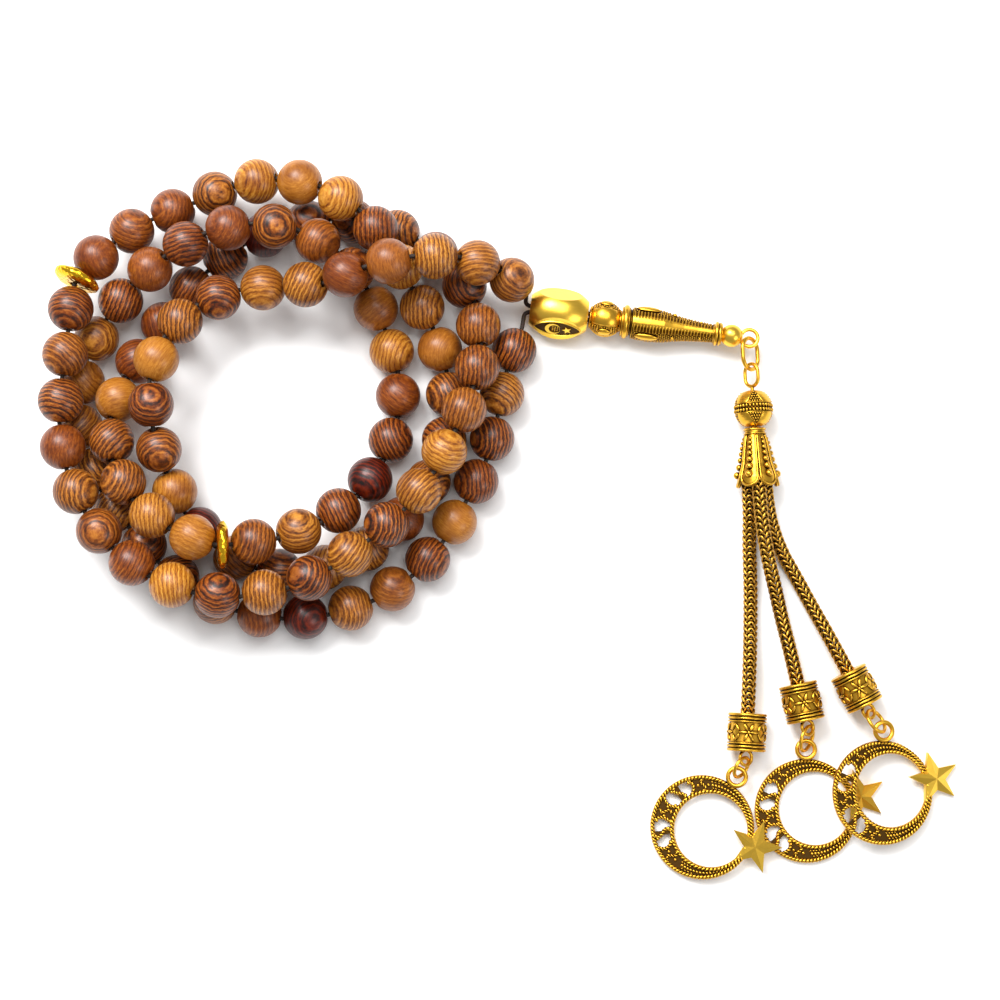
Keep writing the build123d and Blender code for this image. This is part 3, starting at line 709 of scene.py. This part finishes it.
def round_bead():
    """Smooth lobes above and below two rows of beading, with granules between the lobes."""
    half, bore, wide = ROUND_LENGTH / 2, 0.475, ROUND_ACROSS / 2
    shape = [(1.2, half), (1.7, half * 0.96), (2.2, half * 0.86), (2.65, half * 0.71), (2.98, half * 0.54),
             (3.18, half * 0.4), (3.28, half * 0.28)]
    rows = ridged([(z, r) for r, z in shape], 0.12)
    profile = [(bore, -half), (bore, half)] + rows + [(3.12, 0.75), (3.12, -0.75)]
    profile += [(r, -z) for r, z in reversed(rows)]

    def between(a, z):
        off = abs(math.remainder(a - PANEL_UP, math.pi / 2))
        return off < 0.42 * (1 - (abs(z) - 0.8) / (half - 0.8)) ** 0.8 if 0.8 < abs(z) < half else False

    def lobes(a, r, z):
        return r - 0.2 if r > 1.25 and between(a, z) else r

    parts = [lathe(profile, 144, closed=True, wobble=lobes)]
    count = 34
    for sign in (1, -1):
        parts.append(moved(torus(3.17, 0.1), Matrix.Translation((0, 0, sign * 0.82))))
        for i in range(count):
            parts.append(moved(ball((0, 0, 0), 1.0, 3, (0.36, 0.27, 0.36)), Matrix.Rotation(
                2 * math.pi * i / count, 4, "Z") @ Matrix.Translation((3.12, 0, sign * 0.37))))
        for row in range(5):
            z = sign * (1.08 + row * 0.42)
            radius = reach_at([(abs(b), a) for a, b in reversed(shape)], abs(z))
            for k in range(4):
                for j in range(-3, 4):
                    a = PANEL_UP + k * math.pi / 2 + (j + 0.5 * (row % 2)) * 0.44 / radius
                    if between(a, z):
                        parts.append(ball(on_side(radius, a, z, -0.14), 0.2))
    place = place_of("round_bead_spin")
    add("worked_round_bead", moved(joined(*parts), frame_at(place, -tassel_down())), ANTIQUE, "round_bead",
        ("round_bead",))


def tassel_down():
    axis = axis_of("round_bead_spin")
    return -axis if axis.y > 0 else axis


CONE_OUTLINE = ((0.0, 1.8), (1.2, 1.8), (2.4, 2.15), (6.4, 2.8), (8.6, 3.52), (10.4, 3.6))
CONE_BELOW_BEAD = 3.45
PANELS = 6


def cone_cap():
    """A flared cap: wire-edged panels, each with balls that grow downwards, and a scalloped rim."""
    wall = 0.42
    outer = ridged(CONE_OUTLINE, 0.3)
    inner = [(r - wall, z) for r, z in reversed(ridged(CONE_OUTLINE[2:], 0.3))]
    points, faces = lathe([(0.36, 0.0)] + outer + inner + [(0.36, 1.4)], 144, closed=True)
    for p in points:
        if p.z > 8.6:
            turn = math.atan2(p.y, p.x) - PANEL_UP - math.pi / PANELS
            off = abs(math.remainder(turn, 2 * math.pi / PANELS))
            p.z -= (p.z - 8.6) / 1.8 * 1.2 * (off * PANELS / math.pi) ** 2.5
    parts = [(points, faces), moved(torus(1.78, 0.2), Matrix.Translation((0, 0, 0.25))),
             moved(torus(1.86, 0.14), Matrix.Translation((0, 0, 1.0)))]
    for i in range(PANELS):
        angle = PANEL_UP + (i + 0.5) * 2 * math.pi / PANELS
        edge = []
        for k in range(61):
            t = k / 60 * 2 - 1
            bow = min(1.0, abs(t) / 0.18)
            z = max(10.15 - 9.0 * max(0.0, abs(t) - 0.18) / 0.82 - 1.1 * bow**2, 1.15)
            share = bow**0.8
            edge.append(on_side(reach_at(CONE_OUTLINE, z) + 0.08, angle + math.copysign(share, t) * 0.45, z))
        parts.append(swept(edge, 0.17, 8))
        height = 1.6
        for k in range(7):
            grain = 0.28 + 0.06 * k
            height += grain
            parts.append(ball(on_side(reach_at(CONE_OUTLINE, height), angle, height, grain * 0.2), grain, 3))
            height += grain + 0.13
    flip = Matrix.Rotation(math.pi, 4, "Y")
    place = place_of("round_bead_spin") + tassel_down() * CONE_BELOW_BEAD
    add("worked_cone_cap", moved(joined(*parts), frame_at(place, -tassel_down()) @ flip), ANTIQUE,
        "pin_group", ("cone_cap",))


def end_cap():
    """A sleeve with double rings at both ends and a band of six-petalled flowers and leaves."""
    half, wide = CAP_LENGTH / 2, CAP_ACROSS / 2
    profile = [(0.0, -half), (2.4, -half), (wide - 0.15, -half + 0.1), (wide - 0.32, -half + 0.9),
               (wide - 0.32, half - 0.9), (wide - 0.15, half - 0.1), (2.6, half), (1.5, half - 0.12),
               (0.0, half - 0.12)]
    parts = [lathe(profile, 72)]
    for sign in (1, -1):
        for at, wire in ((half - 0.28, 0.27), (half - 0.88, 0.24), (half - 1.42, 0.13)):
            parts.append(moved(torus(wide - wire, wire, 72, 10), Matrix.Translation((0, 0, sign * at))))
    side = wide - 0.3
    for i in range(4):
        angle = PANEL_UP + i * math.pi / 2
        for k in range(6):
            turn = k * math.pi / 3 + math.pi / 6
            across = angle + 0.95 * math.sin(turn) / side
            petal = ball((0, 0, 0), 1.0, 3, (0.3, 0.3, 0.78))
            lean = Matrix.Rotation(across, 4, "Z") @ Matrix.Rotation(-turn, 4, "X")
            at = on_side(side, across, 0.95 * math.cos(turn))
            parts.append(moved(petal, Matrix.Translation(at) @ lean))
        parts.append(ball(on_side(side, angle, 0.0, 0.12), 0.3, 3))
        for k in (1, -1):
            for rise in (1, -1):
                across = angle + math.pi / 4 + k * 0.13
                leaf = ball((0, 0, 0), 1.0, 3, (0.26, 0.24, 0.72))
                lean = Matrix.Rotation(across, 4, "Z") @ Matrix.Rotation(k * rise * 0.55, 4, "X")
                parts.append(moved(leaf, Matrix.Translation(on_side(side, across, rise * 0.85)) @ lean))
    return joined(*parts)


def caps():
    """The end cap on each chain, with the eye that its link hangs from."""
    for side, route in zip(SIDES, CHAIN_ROUTES):
        end, before = Vector(route[-1]) + HOME, Vector(route[-2]) + HOME
        aim = (end - before).normalized()
        part = moved(end_cap(), frame_at(end + aim * CAP_LENGTH / 2, -aim))
        eye = end + aim * (CAP_LENGTH + 1.1)
        across = UP.cross(aim).normalized()
        tilt = Matrix.Rotation(math.radians(LINK_TILT - 90), 4, aim)
        spread = tilt @ across
        loop = []
        for i in range(36):
            t = 2 * math.pi * i / 36
            loop.append(eye + (aim * math.cos(t) + spread * math.sin(t)) * 1.3)
        part = joined(part, swept(loop, 0.3, 10, closed=True))
        add(f"worked_end_cap_{side}", part, ANTIQUE, f"chain_{side}", (f"end_cap_{side}",))


# ---------------------------------------------------------------- charms
def charm_place(side, turn, tilt):
    """The placement of a charm's own frame: its ring lies on z = 0 with the star towards +x."""
    eye = polar(EYE_REACH, math.radians(EYE_ANGLE), EYE_HEIGHT)
    return (Matrix.Translation(place_of(f"charm_{side}_swing")) @ Matrix.Rotation(math.radians(tilt), 4, "Y")
            @ Matrix.Rotation(math.radians(turn), 4, "Z") @ Matrix.Translation(-eye))


def crescent_width(angle):
    """The inner and outer edge of the ring, measured from its middle, at an angle."""
    c = math.cos(angle)
    inner = CHARM_OFFSET * c + math.sqrt(CHARM_HOLE**2 - (CHARM_OFFSET * math.sin(angle)) ** 2)
    return inner, CHARM_RADIUS


def rope_along(path, strand, pitch):
    """Two strands twisted round each other along an open path that lies level."""
    path = [Vector(q) for q in path]
    parts = []
    for phase in (0.0, math.pi):
        gone, out = 0.0, []
        for i, q in enumerate(path):
            along = (path[min(i + 1, len(path) - 1)] - path[max(i - 1, 0)]).normalized()
            gone += (q - path[i - 1]).length if i else 0.0
            twist = 2 * math.pi * gone / pitch + phase
            out.append(q + (UP.cross(along) * math.cos(twist) + UP * math.sin(twist)) * strand * 0.85)
        parts.append(swept(out, strand, 6))
    return joined(*parts)


def polar(radius, angle, height):
    return Vector((radius * math.cos(angle), radius * math.sin(angle), height))


def s_scroll(angle, size, reach, flip, height, strand):
    """A rope S across the crescent, with a curl at both ends."""
    inner, outer = crescent_width(angle)
    middle = polar((inner + outer) / 2, angle, height)
    outward = polar(1, angle, 0)
    sideways = UP.cross(outward) * flip
    path = []
    for i in range(49):
        t = i / 24 - 1
        path.append(middle + outward * reach * t + sideways * size * math.sin(math.pi * t))
    return rope_along(path, strand, 1.1)


def plate(start, end, low, high, edge):
    """A piece of the crescent's floor between two angles."""
    points, faces = [], []
    steps = max(2, round((end - start) / 0.04))
    for i in range(steps + 1):
        a = start + (end - start) * i / steps
        inner, outer = crescent_width(a)
        points += [polar(r, a, z) for r in (inner + edge, outer - edge) for z in (low, high)]
    for i in range(steps):
        a, b = 4 * i, 4 * i + 4
        faces += [[a, b, b + 1, a + 1], [a + 1, b + 1, b + 3, a + 3], [a + 3, b + 3, b + 2, a + 2],
                  [a + 2, b + 2, b, a]]
    faces += [[0, 1, 3, 2], [4 * steps, 4 * steps + 2, 4 * steps + 3, 4 * steps + 1]]
    return points, faces


WINDOWS = (132, 156, 197, 220)  # degrees from the star to the middle of each opening
WINDOW = 8.5  # half of an opening's width, in degrees


def charm_floor():
    """The dark floor of the crescent, with its openings left out."""
    edges = [0.0]
    for middle in WINDOWS:
        edges += [math.radians(middle - WINDOW), math.radians(middle + WINDOW)]
    edges.append(2 * math.pi)
    return joined(*(plate(a, b, 0.25, 0.85, 0.3) for a, b in zip(edges[::2], edges[1::2])))


def charm():
    """A crescent edged with rope: scrolls round four openings in its wide part, granules in its thin part."""
    parts = [rope(CHARM_RADIUS - 0.42, 0.0, 0.24, 44, 0.85),
             rope(CHARM_HOLE + 0.42, CHARM_OFFSET, 0.24, 32, 0.85),
             moved(torus(CHARM_RADIUS - 0.35, 0.33, 96, 8), Matrix.Translation((0, 0, 0.36))),
             moved(torus(CHARM_HOLE + 0.35, 0.33, 96, 8), Matrix.Translation((CHARM_OFFSET, 0, 0.36)))]
    for low, high in (WINDOWS[:2], WINDOWS[2:]):
        middle = math.radians((low + high) / 2)
        parts.append(s_scroll(middle, 0.62, 1.6, 1, 0.85, 0.2))
        for angle, flip in ((math.radians(low - WINDOW), 1), (math.radians(high + WINDOW), -1)):
            inner, outer = crescent_width(angle)
            bow = []
            for i in range(25):
                t = i / 24 * 2 - 1
                r = (inner + outer) / 2 + t * (outer - inner - 1.2) / 2
                bow.append(polar(r, angle + flip * 0.1 * (t * t - 0.35), 0.85))
            parts.append(rope_along(bow, 0.2, 1.1))
    for middle, side in zip(WINDOWS, (1, -1, 1, -1)):
        angle = math.radians(middle)
        inner, outer = crescent_width(angle)
        parts.append(ball(polar(inner + 1.05, angle + 0.09, 0.85), 0.34, 3))
        parts.append(ball(polar(outer - 1.05, angle - 0.09, 0.85), 0.34, 3))
    for degrees, flip in ((108, 1), (243, -1), (176.5, 1)):
        parts.append(s_scroll(math.radians(degrees), 0.45, 1.1, flip, 0.92, 0.17))
        for shift in (-7, 7):
            inner, outer = crescent_width(math.radians(degrees + shift))
            parts.append(ball(polar((inner + outer) / 2, math.radians(degrees + shift), 0.92), 0.3, 3))
    angle = -98.0
    while angle <= 98.0:
        a = math.radians(angle)
        inner, outer = crescent_width(a)
        room = outer - inner - 1.6
        grain = 0.2 + 0.07 * (abs(angle) > 60)
        if abs(angle) > 22:
            parts.append(ball(polar((inner + outer) / 2, a, 0.9), grain + max(0.0, room) * 0.03))
            if room > 1.1:
                parts.append(ball(polar((inner + outer) / 2 + 0.5, a + 0.03, 0.88), 0.2))
                parts.append(ball(polar((inner + outer) / 2 - 0.5, a - 0.03, 0.88), 0.2))
        angle += 4.2
    x, y = EYE_REACH * math.cos(math.radians(EYE_ANGLE)), EYE_REACH * math.sin(math.radians(EYE_ANGLE))
    parts.append(moved(torus(1.55, 0.4, 48, 12), Matrix.Translation((x, y, EYE_HEIGHT))))
    foot = [(x * 0.83, y * 0.83, 0.7), (x * 0.86, y * 0.86, 0.95)]
    parts.append(swept(foot, 0.5, 10))
    return joined(*parts)


def star():
    """A faceted five-pointed star at the charm's +x side."""
    points = [Vector((0, 0, CHARM_THICK + STAR_PEAK + 0.35)), Vector((0, 0, 0))]
    for z in (0.0, CHARM_THICK - 0.35):
        for i in range(10):
            r = STAR_TIP if i % 2 == 0 else STAR_TIP * 0.42
            a = math.radians(36 * i + STAR_TURN)
            points.append(Vector((r * math.cos(a) + STAR_REACH, r * math.sin(a), z)))
    points[0].x = points[1].x = STAR_REACH
    faces = []
    for i in range(10):
        k = (i + 1) % 10
        faces += [[0, 12 + i, 12 + k], [12 + i, 2 + i, 2 + k, 12 + k], [1, 2 + k, 2 + i]]
    return points, faces


def charms():
    """The three charms, each with its rope crescent, its dark floor and its star."""
    for side, turn, tilt in zip(SIDES, CHARM_TURNS, CHARM_TILTS):
        place = charm_place(side, turn, tilt)
        add(f"filigree_charm_{side}", moved(charm(), place), ANTIQUE, f"charm_{side}", (f"charm_{side}",))
        add(f"charm_floor_{side}", moved(charm_floor(), place), PATINA, f"charm_{side}", smooth=False)
        add(f"star_{side}", moved(star(), place), BRIGHT, f"charm_{side}", smooth=False)


# ---------------------------------------------------------------- the junction bead's face
JUNCTION_FLAT = 3.55


def slab(outer, inner, low, high):
    """A flat shape between two outlines of as many points, with thickness."""
    count = len(outer)
    points = [Vector((x, y, z)) for x, y in outer for z in (low, high)]
    points += [Vector((x, y, z)) for x, y in inner for z in (low, high)]
    faces = []
    for i in range(count):
        k = (i + 1) % count
        a, b, c, d = 2 * i, 2 * k, 2 * (count + i), 2 * (count + k)
        faces += [[a, b, b + 1, a + 1], [a + 1, b + 1, d + 1, c + 1], [c + 1, d + 1, d, c], [c, d, b, a]]
    return points, faces


def junction_face():
    """A leaf-shaped dark field with a raised rim, a crescent and a star, on the face towards -Y."""
    facing = math.radians(150)
    out = Vector((math.cos(facing), math.sin(facing), 0))
    along = Vector((0, 0, 1))
    across = out.cross(along)
    matrix = Matrix((along, across, out)).transposed().to_4x4()
    matrix.translation = out * JUNCTION_FLAT
    matrix = frame_at(JUNCTION, LINE) @ matrix
    leaf = [(4.1 * math.cos(t), 1.85 * math.sin(t) * (1 - 0.28 * math.cos(t) ** 2))
            for t in (2 * math.pi * i / 48 for i in range(48))]
    middle = [(0.02 * x, 0.02 * y) for x, y in leaf]
    field = slab(leaf, middle, -0.3, 0.02)
    rim = swept([(x, y, 0.02) for x, y in leaf], 0.15, 6, closed=True)
    outer, inner = [], []
    for i in range(49):
        t = math.radians(28 + 304 * i / 48)
        outer.append((1.35 * math.cos(t) - 0.75, 1.35 * math.sin(t)))
        reach = 1.02
        inner.append((reach * math.cos(t) - 0.42, reach * math.sin(t)))
    crescent = slab(outer, inner, -0.1, 0.2)
    star_outer = []
    for i in range(10):
        r = 0.85 if i % 2 == 0 else 0.36
        a = math.radians(36 * i + 180)
        star_outer.append((r * math.cos(a) + 1.75, r * math.sin(a)))
    small_star = slab(star_outer, [(1.75, 0.0)] * 10, -0.1, 0.2)
    dots = [ball((-0.35 + 0.42 * k, 0.42 * j, 0.02), 0.14) for k in range(-1, 2) for j in range(-1, 2)]
    add("junction_field", moved(field, matrix), PATINA, "string_group", smooth=False)
    add("junction_relief", moved(joined(rim, crescent, small_star, *dots), matrix), BRIGHT, "string_group",
        smooth=False)


# ---------------------------------------------------------------- pieces kept from the CAD model
def kept():
    """Finishes for the nodes whose own CAD shape is right."""
    for name, material in (("string", CORD), ("knot", CORD), ("junction_bead", BRIGHT), ("end_ball", BRIGHT),
                           ("oval_ring", ANTIQUE), ("eye_pin", ANTIQUE), ("link_left", ANTIQUE),
                           ("link_middle", ANTIQUE), ("link_right", ANTIQUE)):
        mesh = frame["nodes"][name].data
        if not mesh.materials:
            mesh.materials.append(material)
        for slot in frame["nodes"][name].material_slots:
            slot.material = material


stage()
beads()
dividers()
chains()
head_ball()
imame_body()
round_bead()
cone_cap()
caps()
charms()
junction_face()
kept()
